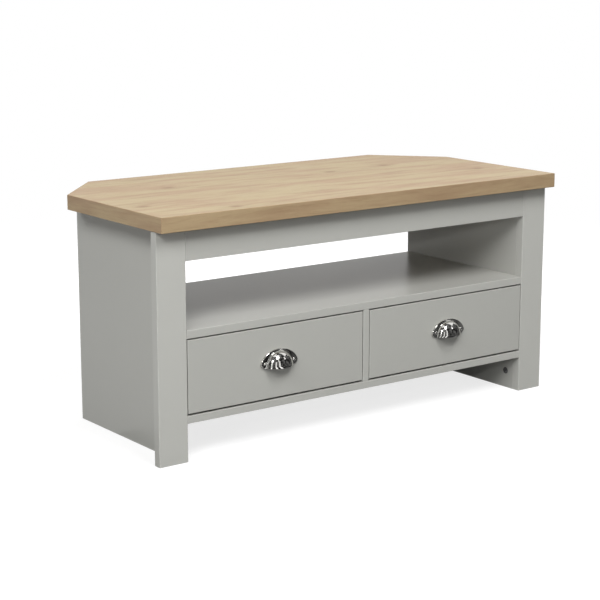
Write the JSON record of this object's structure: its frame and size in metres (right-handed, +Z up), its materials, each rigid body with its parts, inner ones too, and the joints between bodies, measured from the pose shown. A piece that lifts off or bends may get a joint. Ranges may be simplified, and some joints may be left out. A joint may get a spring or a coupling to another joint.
{
  "type": "corner tv cabinet",
  "caption": "Low corner television cabinet: six-sided oak-effect top on a grey carcass, open shelf above side-by-side inset drawers with chrome cup handles.",
  "frame": {"origin": "on the floor under the middle of the top board's bounding box", "axes": "+X to the viewer's right when facing the drawers, +Y to the back, +Z up; the drawers face -Y"},
  "size_m": [1, 0.49, 0.482],
  "materials": {
    "oak_top": "satin light oak effect with fine lengthwise grain",
    "painted_board": "satin warm grey paint over board",
    "drawer_board": "matt grey melamine",
    "drawer_base": "matt grey-faced hardboard",
    "hardboard": "matt brown hardboard, smooth on the face and finely flecked",
    "chrome": "polished chrome plating",
    "coated_steel": "white epoxy coating",
    "nylon": "moulded nylon",
    "black_plastic": "moulded, satin",
    "zinc_steel": "bright zinc plating",
    "beech": "bare turned wood"
  },
  "bodies": {
    "carcass": {"top_panel": "oak_top", "left_post": "painted_board", "right_post": "painted_board", "left_side_panel": "painted_board", "right_side_panel": "painted_board", "front_rail": "painted_board", "rear_rail": "painted_board", "shelf": "painted_board", "bottom_panel": "painted_board", "drawer_divider": "painted_board", "back_panel": "hardboard", "left_post_cam": "black_plastic", "left_top_front_cam": "black_plastic", "left_top_rear_cam": "black_plastic", "right_post_cam": "black_plastic", "right_top_front_cam": "black_plastic", "right_top_rear_cam": "black_plastic", "left_post_cam_bolt": "zinc_steel", "left_top_front_cam_bolt": "zinc_steel", "left_top_rear_cam_bolt": "zinc_steel", "right_post_cam_bolt": "zinc_steel", "right_top_front_cam_bolt": "zinc_steel", "right_top_rear_cam_bolt": "zinc_steel", "left_rail_dowel_lower": "beech", "left_rail_dowel_upper": "beech", "right_rail_dowel_lower": "beech", "right_rail_dowel_upper": "beech", "left_cabinet_runner_left": "coated_steel", "left_cabinet_runner_right": "coated_steel", "right_cabinet_runner_left": "coated_steel", "right_cabinet_runner_right": "coated_steel"},
    "left_drawer": {"left_drawer_front": "painted_board", "left_drawer_side_left": "drawer_board", "left_drawer_side_right": "drawer_board", "left_drawer_back": "drawer_board", "left_drawer_bottom": "drawer_base", "left_drawer_handle": "chrome", "left_handle_screw_left": "chrome", "left_handle_screw_right": "chrome", "left_drawer_runner_left": "coated_steel", "left_drawer_runner_right": "coated_steel"},
    "left_front_roller_left": {"left_front_roller_left": "nylon"},
    "left_rear_roller_left": {"left_rear_roller_left": "nylon"},
    "left_front_roller_right": {"left_front_roller_right": "nylon"},
    "left_rear_roller_right": {"left_rear_roller_right": "nylon"},
    "right_drawer": {"right_drawer_front": "painted_board", "right_drawer_side_left": "drawer_board", "right_drawer_side_right": "drawer_board", "right_drawer_back": "drawer_board", "right_drawer_bottom": "drawer_base", "right_drawer_handle": "chrome", "right_handle_screw_left": "chrome", "right_handle_screw_right": "chrome", "right_drawer_runner_left": "coated_steel", "right_drawer_runner_right": "coated_steel"},
    "right_front_roller_left": {"right_front_roller_left": "nylon"},
    "right_rear_roller_left": {"right_rear_roller_left": "nylon"},
    "right_front_roller_right": {"right_front_roller_right": "nylon"},
    "right_rear_roller_right": {"right_rear_roller_right": "nylon"}
  },
  "joints": [
    {"name": "left_drawer_slide", "type": "slide", "parent": "carcass", "child": "left_drawer", "axis": [0, -1, 0], "range_m": [0, 0.26]},
    {"name": "left_front_roller_left_spin", "type": "hinge", "parent": "carcass", "child": "left_front_roller_left", "pos_m": [-0.42745, -0.1895, 0.1206], "axis": [1, 0, 0], "continuous": true},
    {"name": "left_rear_roller_left_spin", "type": "hinge", "parent": "left_drawer", "child": "left_rear_roller_left", "pos_m": [-0.42605, 0.1325, 0.1177], "axis": [1, 0, 0], "continuous": true},
    {"name": "left_front_roller_right_spin", "type": "hinge", "parent": "carcass", "child": "left_front_roller_right", "pos_m": [-0.01305, -0.1895, 0.1206], "axis": [1, 0, 0], "continuous": true},
    {"name": "left_rear_roller_right_spin", "type": "hinge", "parent": "left_drawer", "child": "left_rear_roller_right", "pos_m": [-0.01445, 0.1325, 0.1177], "axis": [1, 0, 0], "continuous": true},
    {"name": "right_drawer_slide", "type": "slide", "parent": "carcass", "child": "right_drawer", "axis": [0, -1, 0], "range_m": [0, 0.26]},
    {"name": "right_front_roller_left_spin", "type": "hinge", "parent": "carcass", "child": "right_front_roller_left", "pos_m": [0.01305, -0.1895, 0.1206], "axis": [1, 0, 0], "continuous": true},
    {"name": "right_rear_roller_left_spin", "type": "hinge", "parent": "right_drawer", "child": "right_rear_roller_left", "pos_m": [0.01445, 0.1325, 0.1177], "axis": [1, 0, 0], "continuous": true},
    {"name": "right_front_roller_right_spin", "type": "hinge", "parent": "carcass", "child": "right_front_roller_right", "pos_m": [0.42745, -0.1895, 0.1206], "axis": [1, 0, 0], "continuous": true},
    {"name": "right_rear_roller_right_spin", "type": "hinge", "parent": "right_drawer", "child": "right_rear_roller_right", "pos_m": [0.42605, 0.1325, 0.1177], "axis": [1, 0, 0], "continuous": true}
  ],
  "couplings": [
    {"joint": "left_front_roller_left_spin", "follows": "left_drawer_slide", "rad_per_m": 133.33},
    {"joint": "left_rear_roller_left_spin", "follows": "left_drawer_slide", "rad_per_m": 151.52},
    {"joint": "left_front_roller_right_spin", "follows": "left_drawer_slide", "rad_per_m": 133.33},
    {"joint": "left_rear_roller_right_spin", "follows": "left_drawer_slide", "rad_per_m": 151.52},
    {"joint": "right_front_roller_left_spin", "follows": "right_drawer_slide", "rad_per_m": 133.33},
    {"joint": "right_rear_roller_left_spin", "follows": "right_drawer_slide", "rad_per_m": 151.52},
    {"joint": "right_front_roller_right_spin", "follows": "right_drawer_slide", "rad_per_m": 133.33},
    {"joint": "right_rear_roller_right_spin", "follows": "right_drawer_slide", "rad_per_m": 151.52}
  ]
}
